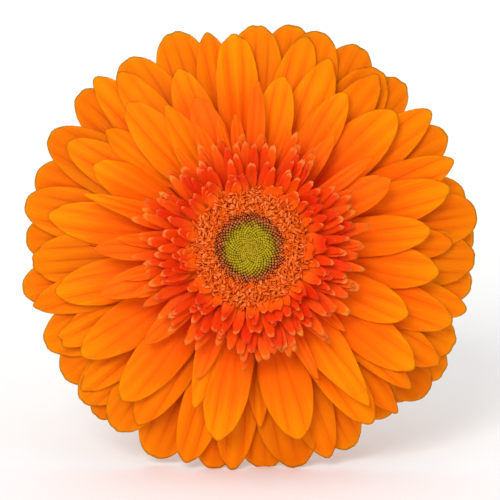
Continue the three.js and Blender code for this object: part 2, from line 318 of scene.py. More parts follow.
def blade_mesh(blade, columns=BLADE_COLUMNS, rows=BLADE_ROWS, thickness=BLADE_THICKNESS):
    """One floret in the head's axes: points, faces, uv, and how far each point is under and in a groove."""
    side = np.linspace(-1.0, 1.0, columns + 1)
    side = EDGE_CROWDING * np.sin(side * math.pi / 2) + (1.0 - EDGE_CROWDING) * side
    run = 1.0 - (1.0 - np.linspace(0.0, 1.0, rows + 1)) ** TIP_CROWDING
    u, v = np.meshgrid(side, run)
    length = blade["reach"] - blade["foot"]
    arc = np.clip(1.0 - np.abs(u) ** blade["round"], 0.0, 1.0) ** blade["point"]
    notches = sum(np.exp(-(((u - groove) / blade["groove_width"]) ** 2)) for groove in blade["grooves"])
    share = v * (blade["corner"] + (1.0 - blade["corner"]) * arc)
    share -= v ** 6 * notches * blade["teeth"] / length
    claw = min(blade["claw"], blade["half"])
    width = claw + (blade["half"] - claw) * smooth(CLAW_END, blade["shoulder"], v * blade["corner"])
    across = u * width + blade["sway"] * share ** 2
    along = blade["foot"] + share * length
    open_share = smooth(*OPENING, share)
    height = np.polyval(blade["curve"], np.hypot(along, across))
    height += (1.0 - open_share) * CLAW_CHANNEL * u ** 2 * width
    height += open_share * blade["cup"] * u ** 2 * width
    height -= open_share * blade["groove"] * notches * (1.3 - 0.6 * share)
    height += open_share * blade["fold"] * width * np.sqrt((u - blade["fold_at"]) ** 2 + FOLD_ROUNDING)
    height += blade["curl"] * smooth(CURL_FROM, 1.0, share) ** 2
    height += blade["twist"] * u * width * share
    height += blade["ruffle"] * np.abs(u) ** 3 * np.sin(share * RUFFLE_TURNS + blade["phase"]) * open_share
    thick = thickness * (1.0 - np.abs(u) ** EDGE_THINNING) * (1.0 - v ** TIP_THINNING)
    thick *= smooth(-0.01, 0.05, v)
    thick[0] = 0.0
    cosine, sine = math.cos(blade["direction"]), math.sin(blade["direction"])
    x = along * cosine + across * sine
    y = along * sine - across * cosine
    upper, lower = (np.stack([x, y, height + way * thick], -1) for way in (0.5, -0.5))
    grid = np.arange(u.size).reshape(u.shape)
    inside = grid[1:-1, 1:-1]
    lower_grid = grid.copy()
    lower_grid[1:-1, 1:-1] = grid.size + np.arange(inside.size).reshape(inside.shape)
    points = np.vstack([upper.reshape(-1, 3), lower[1:-1, 1:-1].reshape(-1, 3)])
    faces = np.vstack([quads(grid), quads(lower_grid)[:, ::-1]])
    source = np.concatenate([grid.ravel(), inside.ravel()])
    uv = np.stack([(u + 1) / 2, share], -1).reshape(-1, 2)[source]
    groove = (notches * open_share).ravel()[source]
    under = np.repeat([0.0, 1.0], [grid.size, inside.size])
    return points, faces, uv, {"under": under, "groove": groove}


def set_values(piece, name, values):
    """A number for each point of a piece, which its material reads."""
    piece.data.attributes.new(name, "FLOAT", "POINT").data.foreach_set("value", values)


def set_blade_map(piece, faces, uv):
    piece.data.uv_layers.new(name="blade").data.foreach_set("uv", uv[faces.ravel()].ravel())


def add_blades(name, blades, material):
    """One piece of one or more florets, with a uv map and the attributes tone, under and groove."""
    parts = [blade_mesh(blade) for blade in blades]
    sizes = [len(part[0]) for part in parts]
    starts = np.cumsum([0] + sizes)
    points = from_head(np.vstack([part[0] for part in parts]))
    points[:, 2] = np.maximum(points[:, 2], 0.0)
    faces = np.vstack([part[1] + start for part, start in zip(parts, starts)])
    piece = add_mesh(name, points, faces.tolist(), material)
    set_blade_map(piece, faces, np.vstack([part[2] for part in parts]))
    set_values(piece, "tone", np.repeat([blade["tone"] for blade in blades], sizes))
    for key in ("under", "groove"):
        set_values(piece, key, np.concatenate([part[3][key] for part in parts]))
    return piece


def blade_wires(pen):
    """A floret's uv map, the share of the way along it, and how near a point is to its side edges."""
    uv = pen.make("ShaderNodeUVMap", {"uv_map": "blade"})
    across = pen.make("ShaderNodeSeparateXYZ", None, {0: uv})
    return uv, across.other(1), across.math("ABSOLUTE", across - 0.5) * 2.0


def petal_material(name, foot, body, tip, dark, foot_end, rim_share):
    """Living petal: red at the foot, partly its own colour and partly painted shade; orange blade; fine
    veins;
    painted shade in its grooves and creases; thinner and browner at its very edge.
    """
    material, pen = new_material(name, specular=0.03, flesh=0.2, depth=1.5e-3, glow=(1.0, 0.35, 0.1))
    uv, v, edge = blade_wires(pen)
    tone, under, groove = (pen.attribute(key) for key in ("tone", "under", "groove"))
    veins = pen.noise(pen.stretched(uv, (30.0, 1.3, 1.0)), 1.0, 3.0)
    mottle = pen.noise(pen.place(), 90.0, 3.0)
    wander = v + (mottle - 0.5) * 0.22 + (tone - 0.5) * 0.1
    # Red at the foot: partly the floret's own colour and partly painted shade where the florets lie over each
    # other.
    colour = wander.step(foot_end - 0.16, foot_end + 0.2).blend(foot, body)
    streaks = pen.noise(pen.stretched(uv, (7.0, 0.9, 1.0)), 1.0, 2.0)
    colour = (wander + (streaks - 0.5) * 0.5 + (tone - 0.5) * 0.4).step(0.4, 0.9).blend(colour, tip)
    colour = ((veins - 0.38) * 1.1 * (1.25 - v)).clamped().blend(colour, dark)
    # Painted shade: darker down in the grooves, and a thin dark line of painted shade along each crease.
    colour = (groove * 0.28 * v.step(0.1, 0.5)).clamped().blend(colour, dark)
    crease_shade = groove.step(0.75, 1.0) * v.step(0.15, 0.45) * (1.0 - v.step(0.8, 0.98))
    colour = (crease_shade * 0.55).blend(colour, dark)
    colour = ((tone - 0.3) * 0.5 + (mottle - 0.5) * 0.5).clamped().blend(colour, dark)
    colour = (edge.step(0.92, 1.0) * rim_share).blend(colour, dark)
    colour = (under * (0.3 + veins * 0.45)).blend(colour, (236, 148, 52))
    return finished(material, colour, 0.42 + veins * 0.22, veins.bump(0.00016, 0.8))


# The middle and back rows are a little darker than the front row: painted shade, as they lie lower, under the
# rows in front. The dark colour serves veins, tone and rim, and the painted shade in grooves and creases.
PETAL_COLOURS = {       # foot, blade, tip, dark parts; where the foot's colour ends; how dark the rim is
    "front": ((236, 52, 4), (249, 104, 2), (252, 138, 1), (230, 78, 1), 0.38, 0.05),
    "middle": ((216, 48, 4), (244, 97, 2), (248, 130, 2), (216, 74, 1), 0.36, 0.1),
    "back": ((204, 52, 3), (236, 98, 2), (241, 126, 2), (196, 72, 1), 0.34, 0.3),
    "inner": ((232, 50, 10), (249, 88, 8), (252, 112, 8), (232, 66, 5), 0.42, 0.1),
}
petal_looks = {row: petal_material(f"{row}_petal", *colours) for row, colours in PETAL_COLOURS.items()}

# What sets some florets apart, by row and number: sharp or blunt tips, deep folds, grooves, two-lobed ends
# and the crumpled, reddened ones at the lower right.
SHARP = {"round": 1.5, "point": 0.86, "teeth": 0.0, "corner": 0.54}
FOLDED = {"fold": -0.45, "fold_at": 0.05, "groove": 0.3e-3}
GROOVED = {"groove": 1.3e-3, "groove_width": 0.18, "fold": 0.0}
BLUNT = {"round": 2.7, "point": 0.5, "teeth": 0.7e-3}
LOBED = {"grooves": (0.0, 0.62), "groove": 1.2e-3, "teeth": 1.4e-3, "groove_width": 0.2}
BROAD = {"groove": 0.3e-3, "fold": -0.12, "cup": -0.05, "tone": 0.1}
CRUMPLED = {"ruffle": 0.6e-3, "groove": 0.6e-3, "tone": 1.0, "twist": 0.12}
SET_APART = {
    "front": ((SHARP, (9, 13, 18, 20, 22)), (FOLDED, (11, 12, 18)), (GROOVED, (7,)), (BLUNT, (7,)),
              (BROAD, (1, 2, 3, 4, 15, 17, 21, 23, 25))),
    "middle": ((GROOVED, (5, 11, 13, 14)), (LOBED, (10,)), (CRUMPLED, (17, 18)), (BROAD, (20,))),
}


def set_apart(row, number):
    """What sets this floret apart. Where two kinds meet in it, the later one wins."""
    changes = {}
    for kind, numbers in SET_APART[row]:
        changes.update(kind if number in numbers else {})
    return changes


for row, count, slot in (("middle", 22, "middle_petal"), ("front", 25, "front_petal")):
    for number in range(1, count + 1):
        node = f"ray_floret_{row}_{number:02d}"
        blade = blade_character(read_blade(node), set_apart(row, number))
        piece = add_blades(f"petal_{row}_{number:02d}", [blade], petal_looks[row])
        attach(piece, "root")
        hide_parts(node)


def crown_tips(node, least):
    """Direction and reach of each tip of a crown of joined florets, and the crown's height curve."""
    points = to_head(points_of(node))
    radius = np.hypot(points[:, 0], points[:, 1])
    curve = np.polyfit(radius, points[:, 2], 2)
    rim = {}
    for angle, far in zip(np.arctan2(points[:, 1], points[:, 0]), radius):
        key = round(math.degrees(angle) * 4) / 4
        if far > least:
            rim[key] = max(rim.get(key, 0.0), far)
    angles = sorted(rim)
    tips = []
    for i, angle in enumerate(angles):
        if rim[angle] > rim[angles[i - 1]] and rim[angle] > rim[angles[(i + 1) % len(angles)]]:
            tips.append((math.radians(angle), rim[angle]))
    return tips, curve


# The outermost row: three dozen florets with deeper grooves, behind all the others. Every second one hangs
# lower and curls back, so that neighbours pass under each other.
CROWN_FOOT = 10.5e-3
BACK_TIPS_FROM = 45e-3      # its tips reach further out than this
BACK_ROUNDING = 1.005       # how much further a petal's round tip reaches than the crown's facets
BACK_LIFTS = (0.5e-3, -0.9e-3)
back_tips, back_curve = crown_tips("ray_florets_back", BACK_TIPS_FROM)
back_blades = []
for number, (direction, reach) in enumerate(back_tips):
    lower = number % 2
    curve = back_curve + np.array([0.0, 0.0, BACK_LIFTS[lower]])
    blade = {"direction": direction, "foot": CROWN_FOOT, "reach": reach * BACK_ROUNDING,
             "half": seed.uniform(6.6, 7.8) * 1e-3, "curve": curve}
    spread = seed.uniform(0.36, 0.5)
    more = {"grooves": (-spread, seed.uniform(-0.08, 0.08), spread), "groove": seed.uniform(0.6, 1.2) * 1e-3,
            "teeth": seed.uniform(0.1, 0.5) * 1e-3, "curl": (seed.uniform(-0.5, 0.1) - 0.9 * lower) * 1e-3,
            "fold": seed.uniform(-0.12, 0.03), "twist": seed.uniform(-0.04, 0.04),
            "groove_width": seed.uniform(0.14, 0.2), "round": seed.uniform(2.1, 2.6),
            "point": seed.uniform(0.5, 0.58), "corner": 0.66}
    back_blades.append(blade_character(blade, more))
piece = add_blades("petals_back", back_blades, petal_looks["back"])
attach(piece, "root")
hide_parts("ray_florets_back")

# The short innermost row, which leans on the trans florets. All of it hangs together at the claws, so it is
# one piece. Each floret: direction in degrees, then reach and width in percent of the head's radius.
INNER_ROW = (
    (25.5, 68, 15), (36.8, 66, 7), (53, 61, 9), (69.7, 54.5, 5.5), (87, 72.5, 8), (96, 58.5, 7),
    (104.5, 57.5, 5.5), (108.5, 69.5, 15), (113.3, 57.5, 8), (125.8, 54, 5.5), (175.8, 58, 6.5),
    (179.5, 67.5, 11), (193.3, 56.5, 6.5), (196, 67.5, 13), (203.3, 56, 6.5), (222.5, 61.5, 10),
    (247, 61, 10), (297, 64, 6.5), (319.5, 54.5, 5.5),
)
HEAD_RADIUS = 55.5e-3
WIDE_PERCENT = 12
TIP_NEAR = 0.5e-3       # a floret lies as high as the CAD crown does within this of its tip
inner_points = to_head(points_of("ray_florets_inner"))
inner_slope = np.polyfit(np.hypot(inner_points[:, 0], inner_points[:, 1]), inner_points[:, 2], 2)
inner_blades = []
for angle, reach_percent, width_percent in INNER_ROW:
    direction = math.radians(angle)
    reach = HEAD_RADIUS * reach_percent / 100
    tip = np.array([math.cos(direction), math.sin(direction)]) * reach
    near = np.hypot(inner_points[:, 0] - tip[0], inner_points[:, 1] - tip[1]) < TIP_NEAR
    lift = inner_points[near, 2].mean() - np.polyval(inner_slope, reach)
    blade = {"direction": direction, "foot": CROWN_FOOT, "reach": reach,
             "half": HEAD_RADIUS * width_percent / 200, "curve": inner_slope + np.array([0.0, 0.0, lift])}
    wide = width_percent > WIDE_PERCENT
    more = {"round": 1.8, "point": 0.6 if wide else 0.7, "shoulder": 0.42, "groove": 0.2e-3,
            "curl": seed.uniform(0.0, 1.0) * 1e-3,
            "cup": seed.uniform(-0.05, 0.05) if wide else seed.uniform(0.05, 0.2)}
    inner_blades.append(blade_character(blade, more))
piece = add_blades("petals_inner", inner_blades, petal_looks["inner"])
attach(piece, "root")
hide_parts("ray_florets_inner")

# ---- Trans florets ----
# The small narrow florets between the ray florets and the disc, in seven rows that stand up more and more
# towards the middle. Each is a fleshy channelled strap with a hooded, paler lip, grown on the core's side.

CORE_FOOT = 9.8e-3
TRANS_ROWS = (          # count, reach, height of foot, height of tip, half width
    (38, 27.9e-3, 12.2e-3, 16.4e-3, 1.45e-3),
    (36, 26.0e-3, 12.6e-3, 17.1e-3, 1.45e-3),
    (34, 24.5e-3, 13.0e-3, 17.7e-3, 1.4e-3),
    (32, 22.6e-3, 13.4e-3, 18.2e-3, 1.35e-3),
    (30, 20.6e-3, 13.8e-3, 18.5e-3, 1.3e-3),
    (28, 18.6e-3, 14.2e-3, 18.7e-3, 1.3e-3),
    (27, 16.7e-3, 14.6e-3, 18.6e-3, 1.3e-3),
)
TRANS_NODES = ("trans_florets_outer", "trans_florets_middle", "trans_florets_inner")
TRANS_COLUMNS, TRANS_STEPS = 6, 8
TRANS_THICKNESS = 0.55e-3
TRANS_KINDS = (         # half width as a share of the row's, roundness, teeth, groove
    (1.0, 1.9, 0.0, 0.15e-3),
    (1.15, 2.1, 0.0, 0.35e-3),
    (1.1, 1.8, 0.15e-3, 0.25e-3),
    (1.2, 2.3, 0.3e-3, 0.45e-3),
)
TRANS_BROAD = (1.9, 2.3, 0.7e-3, 0.45e-3)   # takes the last kind's place ...
TRANS_BROAD_FROM = 4                        # ... from this row inwards
INPUT_KINDS = {"Surface": "Object", "Shapes": "Collection", "Material": "Material"}


def new_tree(name, inputs):
    """A geometry node tree, its first wire and its input wires, from the inputs' names and first values."""
    tree = bpy.data.node_groups.new(name, "GeometryNodeTree")
    tree.interface.new_socket("Geometry", in_out="OUTPUT", socket_type="NodeSocketGeometry")
    inputs = {"Shapes": None, "Material": None, "Seed": 1, **inputs}
    for key, value in inputs.items():
        kind = INPUT_KINDS.get(key, "Int" if isinstance(value, int) else "Float")
        socket = tree.interface.new_socket(key, in_out="INPUT", socket_type="NodeSocket" + kind)
        if value is not None:
            socket.default_value = value
    group = tree.nodes.new("NodeGroupInput")
    return tree, Wire(tree), {key: Wire(tree, group.outputs[key]) for key in inputs}


def chance(pen, low, high, number):
    """A random number for each point, from low to high."""
    return pen.make("FunctionNodeRandomValue", {"data_type": "FLOAT"}, {2: low, 3: high, 8: number}, output=1)


def about(pen, spread, number):
    """A random number for each point, from -spread to spread."""
    return chance(pen, spread * -1.0, spread, number)


def vector(pen, x, y, z):
    return pen.make("ShaderNodeCombineXYZ", None, {0: x, 1: y, 2: z})


def picked_instances(pen, points, inputs, turn, scale, attributes):
    """Puts a random member of Shapes on each point, makes it real and gives it its material."""
    links = {"Collection": inputs["Shapes"], "Separate Children": True}
    shapes = pen.make("GeometryNodeCollectionInfo", None, links)
    links = {4: 0, 5: 99, 8: inputs["Seed"]}
    pick = pen.make("FunctionNodeRandomValue", {"data_type": "INT"}, links, output=2)
    rotation = pen.make("FunctionNodeEulerToRotation", None, {"Euler": turn})
    links = {"Points": points, "Instance": shapes, "Pick Instance": True, "Instance Index": pick,
             "Rotation": rotation, "Scale": scale}
    shape = pen.make("GeometryNodeInstanceOnPoints", None, links)
    for name, value in attributes.items():
        settings = {"data_type": "FLOAT", "domain": "INSTANCE"}
        links = {"Geometry": shape, "Name": name, "Value": value}
        shape = pen.make("GeometryNodeStoreNamedAttribute", settings, links)
    shape = pen.make("GeometryNodeRealizeInstances", None, {"Geometry": shape})
    shape = pen.make("GeometryNodeSetMaterial", None, {"Geometry": shape, "Material": inputs["Material"]})
    output = pen.tree.nodes.new("NodeGroupOutput")
    pen.tree.links.new(shape.socket, output.inputs["Geometry"])


def grown(name, tree, shapes, values, axes=from_head):
    """What a tree grows from these shapes and values, as one plain mesh object. It uses the shapes up."""
    shape_set = bpy.data.collections.new(name + "_shapes")
    bpy.context.scene.collection.children.link(shape_set)
    for shape in shapes:
        bpy.context.collection.objects.unlink(shape)
        shape_set.objects.link(shape)
    holder = bpy.data.objects.new(name + "_holder", bpy.data.meshes.new(name))
    bpy.context.collection.objects.link(holder)
    modifier = holder.modifiers.new(name, "NODES")
    modifier.node_group = tree
    values = {"Shapes": shape_set, **values}
    for item in tree.interface.items_tree:
        if item.in_out == "INPUT" and item.name in values:
            modifier[item.identifier] = values[item.name]
    evaluated = holder.evaluated_get(bpy.context.evaluated_depsgraph_get())
    mesh = bpy.data.meshes.new_from_object(evaluated)
    for used in (holder, *shapes):
        bpy.data.objects.remove(used)
    bpy.data.collections.remove(shape_set)
    points = np.empty(len(mesh.vertices) * 3)
    mesh.vertices.foreach_get("co", points)
    mesh.vertices.foreach_set("co", axes(points.reshape(-1, 3)).ravel())
    mesh.shade_smooth()
    mesh.update()
    piece = bpy.data.objects.new(name, mesh)
    bpy.context.collection.objects.link(piece)
    return piece


def ring_tree():
    """A row of shapes around the head's axis, which they leave outwards, each a little different."""
    tree, pen, inputs = new_tree("row_of_florets", {
        "Count": 30, "Foot Radius": 0.01, "Start": 0.0, "Wander": 0.3, "Lift": 0.07, "Roll": 0.3,
        "Size Change": 0.07, "Row": 0.0})
    index = pen.make("GeometryNodeInputIndex")
    number = inputs["Seed"]
    stray = about(pen, inputs["Wander"], number)
    angle = (index + stray + inputs["Start"]) * math.tau * pen.math("DIVIDE", 1.0, inputs["Count"])
    east, north = angle.math("COSINE", angle), angle.math("SINE", angle)
    place = vector(pen, east * inputs["Foot Radius"], north * inputs["Foot Radius"], 0.0)
    points = pen.make("GeometryNodePoints", None, {"Count": inputs["Count"], "Position": place})
    lift = about(pen, inputs["Lift"], number + 1)
    roll = about(pen, inputs["Roll"], number + 2)
    length = 1.0 + about(pen, inputs["Size Change"], number + 3)
    girth = 1.0 + chance(pen, inputs["Size Change"] * -1.5, inputs["Size Change"] * 1.5, number + 4)
    turn = vector(pen, roll, lift, angle)
    attributes = {"tone": chance(pen, 0.0, 1.0, number + 5), "row": inputs["Row"]}
    picked_instances(pen, points, inputs, turn, vector(pen, length, girth, 1.0), attributes)
    return tree


def trans_floret(name, blade):
    """A single floret to repeat, lying along +X with its foot at the origin, with its uv map."""
    points, faces, uv, _ = blade_mesh(blade, TRANS_COLUMNS, TRANS_STEPS, TRANS_THICKNESS)
    piece = add_mesh(name, points, faces.tolist(), None)
    set_blade_map(piece, faces, uv)
    return piece


def trans_material():
    """Fleshy red-orange, more orange at the foot, darker red low down as painted shade between the rows, with
    a pale salmon lip and pale edges near it.
    """
    material, pen = new_material("trans_floret", specular=0.08, flesh=0.2)
    uv, v, edge = blade_wires(pen)
    tone, row = pen.attribute("tone"), pen.attribute("row")
    veins = pen.noise(pen.stretched(uv, (9.0, 1.2, 1.0)), 1.0, 2.0)
    colour = (tone * 0.8 + (veins - 0.5) * 0.8).clamped().blend((222, 42, 4), (243, 74, 8))
    # Darker red low down on each floret: painted shade where the rows overlap.
    colour = (1.0 - v.step(0.2, 0.65)).blend(colour, (222, 40, 3))
    longest, shortest = TRANS_ROWS[0][1] - CORE_FOOT, TRANS_ROWS[-1][1] - CORE_FOOT
    radius = CORE_FOOT + v * (longest - row * (longest - shortest))
    colour = ((1.0 - radius.step(13.5e-3, 17.5e-3)) * 0.9).blend(colour, (253, 104, 6))
    colour = (v.step(0.45, 0.95) * (1.0 - row.step(0.0, 0.4)) * 0.5).blend(colour, (251, 116, 6))
    lip = (v + edge * 0.06 + (tone - 0.5) * 0.06).step(0.92, 1.0)
    colour = lip.blend(colour, row.step(0.0, 0.4).blend((253, 130, 40), (253, 124, 56)))
    colour = (edge.step(0.8, 1.0) * v.step(0.35, 0.8) * 0.6).blend(colour, (252, 104, 34))
    return finished(material, colour, 0.36 + veins * 0.2, veins.bump(0.0001, 0.6))


trans_look = trans_material()
trans_row = ring_tree()
for number, (count, reach, foot_height, tip_height, half) in enumerate(TRANS_ROWS):
    length, rise = reach - CORE_FOOT, tip_height - foot_height
    curve = np.array([0.6 * rise / length ** 2, 0.4 * rise / length, foot_height])
    kinds = TRANS_KINDS if number < TRANS_BROAD_FROM else TRANS_KINDS[:-1] + (TRANS_BROAD,)
    shapes = []
    for variant, (half_share, roundness, teeth, groove) in enumerate(kinds):
        blade = {"direction": 0.0, "foot": 0.0, "reach": length, "half": half * half_share, "curve": curve}
        more = {"claw": 0.6 * half, "shoulder": 0.55, "round": roundness, "point": 0.64, "corner": 0.62,
                "teeth": teeth, "grooves": (0.0,), "groove": groove, "fold": 0.0, "ruffle": 0.0,
                "cup": seed.uniform(0.0, 0.25), "curl": seed.uniform(0.5, 1.3) * 1e-3,
                "sway": seed.uniform(-0.8, 0.8) * 1e-3}
        shapes.append(trans_floret(f"shape_{variant}", blade_character(blade, more)))
    values = {"Material": trans_look, "Count": count, "Foot Radius": CORE_FOOT, "Start": 0.5 * number,
              "Row": number / (len(TRANS_ROWS) - 1), "Seed": 10 * number + 1}
    piece = grown(f"trans_florets_{number + 1}", trans_row, shapes, values)
    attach(piece, "root")
    if number < len(TRANS_NODES):
        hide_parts(TRANS_NODES[number])

# ---- Open disc florets ----
# The curly ring around the buds: each open disc floret is a tube whose lips roll back and whose forked style
# stands out of it. They crowd together, so that only lips, forks and dark gaps show.

DISC_INNER, DISC_OUTER = 8.7e-3, 14.1e-3
DISC_FOOT = 15.6e-3
DISC_COUNT = 1150
STRAP_RINGS = 8
STRAP_FOOT = 0.55       # its width at the foot, as a share of its full width half way up
STRAP_LEAST = (0.12, 0.25)      # the least share of its width and its thickness, at the tip


def ring_grid(rings, sides):
    """The numbers of points that run around one ring after another, each ring closed by its first point."""
    index = np.arange(rings * sides).reshape(rings, sides)
    return np.hstack([index, index[:, :1]])


def strap(heading, bend, length, width, thickness, drift):
    """Points and quads of a closed strap that starts at the origin, heading up, and bends as it goes."""
    points = []
    x = y = z = 0.0
    pace = length / STRAP_RINGS
    for ring in range(STRAP_RINGS + 1):
        share = ring / STRAP_RINGS
        angle = heading + bend * share ** 1.3
        opened = STRAP_FOOT + (1.0 - STRAP_FOOT) * 2.0 * share
        taper = opened if share < 0.5 else math.sqrt(1.0 - (2.0 * share - 1.0) ** 3)
        half = max(STRAP_LEAST[0], taper) * width / 2
        thick = max(STRAP_LEAST[1], taper) * thickness / 2
        over = (-math.cos(angle), 0.0, math.sin(angle))
        for across, up in ((-half, 0.0), (0.0, thick), (half, 0.0), (0.0, -thick)):
            points.append((x + over[0] * up, y + across, z + over[2] * up))
        x += math.sin(angle) * pace
        z += math.cos(angle) * pace
        y += drift * pace
    last = STRAP_RINGS * 4
    sides = quads(ring_grid(STRAP_RINGS + 1, 4), turned=True).tolist()
    return points, sides + [(0, 1, 2, 3), (last + 3, last + 2, last + 1, last)]


def strap_shape(name, straps):
    """A shape to repeat, of one strap or more, with the attribute rise: 0 at the foot and 1 at the tip."""
    points, faces, rise = [], [], []
    for one in straps:
        more_points, more_faces = strap(*one)
        faces += [tuple(corner + len(points) for corner in face) for face in more_faces]
        points += more_points
        rise += [index // 4 / STRAP_RINGS for index in range(len(more_points))]
    piece = add_mesh(name, points, faces, None)
    set_values(piece, "rise", rise)
    return piece


def field_tree():
    """Shapes spread in a sunflower spiral between two radii, on a dome around the head's axis."""
    tree, pen, inputs = new_tree("spiral_field", {
        "Count": 300, "Inner Radius": 0.0, "Outer Radius": 0.01, "Power": 0.5, "Height": 0.01, "Dome": 0.001,
        "Crest": 0.0, "Stray": 0.0, "Turn": 3.1416, "Tilt": 0.1, "Lean": 0.1, "Size": 0.001,
        "Size Power": 0.0, "Size Change": 0.1, "Edge Shrink": 0.0})
    golden = math.pi * (3.0 - math.sqrt(5.0))
    index = pen.make("GeometryNodeInputIndex")
    number = inputs["Seed"]
    share = ((index + 0.5) * pen.math("DIVIDE", 1.0, inputs["Count"])) ** inputs["Power"]
    radius = inputs["Inner Radius"] + (inputs["Outer Radius"] - inputs["Inner Radius"]) * share
    radius = radius + about(pen, inputs["Stray"], number)
    angle = index * golden
    from_crest = share - inputs["Crest"]
    sag = from_crest * from_crest * (1.0 + inputs["Crest"] * 5.0)
    height = inputs["Height"] + inputs["Dome"] * (1.0 - sag)
    place = vector(pen, angle.math("COSINE", angle) * radius, angle.math("SINE", angle) * radius, height)
    points = pen.make("GeometryNodePoints", None, {"Count": inputs["Count"], "Position": place})
    tilt = about(pen, inputs["Tilt"], number + 1) + inputs["Lean"] * share
    spin = angle + about(pen, inputs["Turn"], number + 2)
    change = 1.0 + about(pen, inputs["Size Change"], number + 3)
    size = inputs["Size"] * change * share ** inputs["Size Power"]
    size = size * (1.0 - inputs["Edge Shrink"] * share.step(0.82, 1.0))
    attributes = {"ring": share, "tone": chance(pen, 0.0, 1.0, number + 4)}
    turn, scale = vector(pen, 0.0, tilt, spin), vector(pen, size, size, size)
    picked_instances(pen, points, inputs, turn, scale, attributes)
    return tree


def crowd_wires(pen):
    """What a floret of a spiral field knows: its points' rise, its tone, its ring, and where it stands."""
    return pen.attribute("rise"), pen.attribute("tone"), pen.attribute("ring"), pen.place()


def disc_material():
    """Dark red-brown down in the tubes, brown orange lips and salmon tips."""
    material, pen = new_material("open_disc_floret", specular=0.08, flesh=0.25, depth=0.8e-3)
    rise, tone, ring, place = crowd_wires(pen)
    patches = pen.noise(place, 380.0)
    body = (tone * 0.6 + (patches - 0.4) * 0.8).clamped().blend((228, 84, 8), (246, 114, 14))
    low = ring.step(0.0, 0.5).blend((186, 64, 4), (248, 104, 8))
    colour = rise.step(0.1, 0.4).blend(low, body)
    tip = (rise + (tone - 0.5) * 0.35 + (patches - 0.5) * 0.3).step(0.55, 1.0)
    colour = tip.blend(colour, (252, 126, 68))
    return finished(material, colour, 0.4 + patches * 0.25, pen.noise(place, 2500.0).bump(0.00005, 0.5))


# Each strap: heading, bend, length, width, thickness and sideways drift.
LIP = (0.1, 4.4, 2.4e-3, 0.56e-3, 0.26e-3, 0.12)
TIGHT_LIP = (0.3, 6.2, 2.5e-3, 0.44e-3, 0.24e-3, 0.24)
LOBE = (-0.1, 3.0, 2.2e-3, 0.68e-3, 0.3e-3, -0.2)
FORK = ((0.05, 2.8, 2.3e-3, 0.4e-3, 0.3e-3, 0.0), (-0.05, -2.8, 2.3e-3, 0.4e-3, 0.3e-3, 0.0))
disc_shapes = [strap_shape("shape_lip", [LIP]), strap_shape("shape_tight_lip", [TIGHT_LIP]),
               strap_shape("shape_lobe", [LOBE]), strap_shape("shape_fork", FORK)]
field = field_tree()
values = {"Material": disc_material(), "Count": DISC_COUNT, "Inner Radius": DISC_INNER,
          "Outer Radius": DISC_OUTER, "Power": 0.88, "Height": DISC_FOOT, "Dome": 1.2e-3, "Crest": 0.4,
          "Stray": 0.5e-3, "Tilt": 0.5, "Lean": 0.0, "Size": 1.0, "Size Change": 0.2, "Seed": 71}
piece = grown("open_disc_florets", field, disc_shapes, values)
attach(piece, "root")
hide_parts("disc_florets_open")

# ---- Closed buds ----
# The dome of closed disc buds in two sets of spirals: fine and green in the middle, larger towards the edge,
# where their tips turn pinkish brown over dark gaps.

BUD_COUNT = 600
BUD_POWER = 0.72
BUD_FIELD = 7.9e-3
BUD_HEIGHT = 17.0e-3
BUD_SIDES = 6
BUD_TIP = 0.12          # how far the tip's middle stands above its rim


def bud_shape(name, levels, top, size=1.0):
    """A six-sided column with a rounded top, from (radius, height) levels, and its attribute rise."""
    points, rise = [], []
    for radius, height in levels:
        for side in range(BUD_SIDES):
            angle = math.tau * side / BUD_SIDES
            points.append((radius * math.cos(angle), radius * math.sin(angle), height))
            rise.append(max(0.0, height + 1.0) / (top + 1.0))
    points.append((0.0, 0.0, levels[-1][1] + BUD_TIP))
    rise.append(1.0)
    faces = quads(ring_grid(len(levels), BUD_SIDES)).tolist()
    last = (len(levels) - 1) * BUD_SIDES
    faces += [(last + side, last + (side + 1) % BUD_SIDES, len(points) - 1) for side in range(BUD_SIDES)]
    faces.append(tuple(reversed(range(BUD_SIDES))))
    piece = add_mesh(name, np.array(points) * size, faces, None)
    set_values(piece, "rise", rise)
    return piece


def bud_material():
    """Olive green that turns ochre in the middle, with dark gaps, and pinkish tips at the dome's edge."""
    material, pen = new_material("closed_disc_bud", specular=0.12)
    rise, tone, ring, place = crowd_wires(pen)
    patches = pen.noise(place, 260.0)
    ring = ring + (patches - 0.5) * 0.12
    top = ring.step(0.1, 0.5).blend((186, 154, 30), (176, 156, 24))
    top = ring.step(0.58, 0.8).blend(top, (166, 120, 30))
    top = ring.step(0.78, 0.92).blend(top, (202, 106, 58))
    gap = ring.step(0.6, 0.8).blend((180, 150, 20), (108, 32, 3))
    colour = (rise + (tone - 0.5) * 0.3).step(0.45, 0.9).blend(gap, top)
    return finished(material, colour, 0.4 + tone * 0.2)


bud_shapes = [
    bud_shape("shape_bud", ((0.9, -5.0), (1.0, -0.4), (0.86, 0.35), (0.45, 0.8)), 1.0),
    bud_shape("shape_sharp_bud", ((0.9, -5.0), (0.95, -0.5), (0.7, 0.4), (0.28, 0.95)), 1.0)]
values = {"Material": bud_material(), "Count": BUD_COUNT, "Inner Radius": 0.0, "Outer Radius": BUD_FIELD,
          "Power": BUD_POWER, "Height": BUD_HEIGHT, "Dome": 1.2e-3, "Crest": 0.0, "Stray": 0.07e-3,
          "Tilt": 0.08, "Lean": 0.25, "Size": 0.42e-3, "Size Power": 0.3, "Size Change": 0.1,
          "Edge Shrink": 0.32, "Seed": 23}
piece = grown("closed_disc_buds", field, bud_shapes, values)
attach(piece, "root")
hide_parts("disc_buds")

# ---- Floret tubes ----
# Every floret starts as a slender tube on the receptacle. Those of the ray and trans florets stand around
# the core, and each lets its blade out at its own height; the young disc tubes crowd between lips and buds.

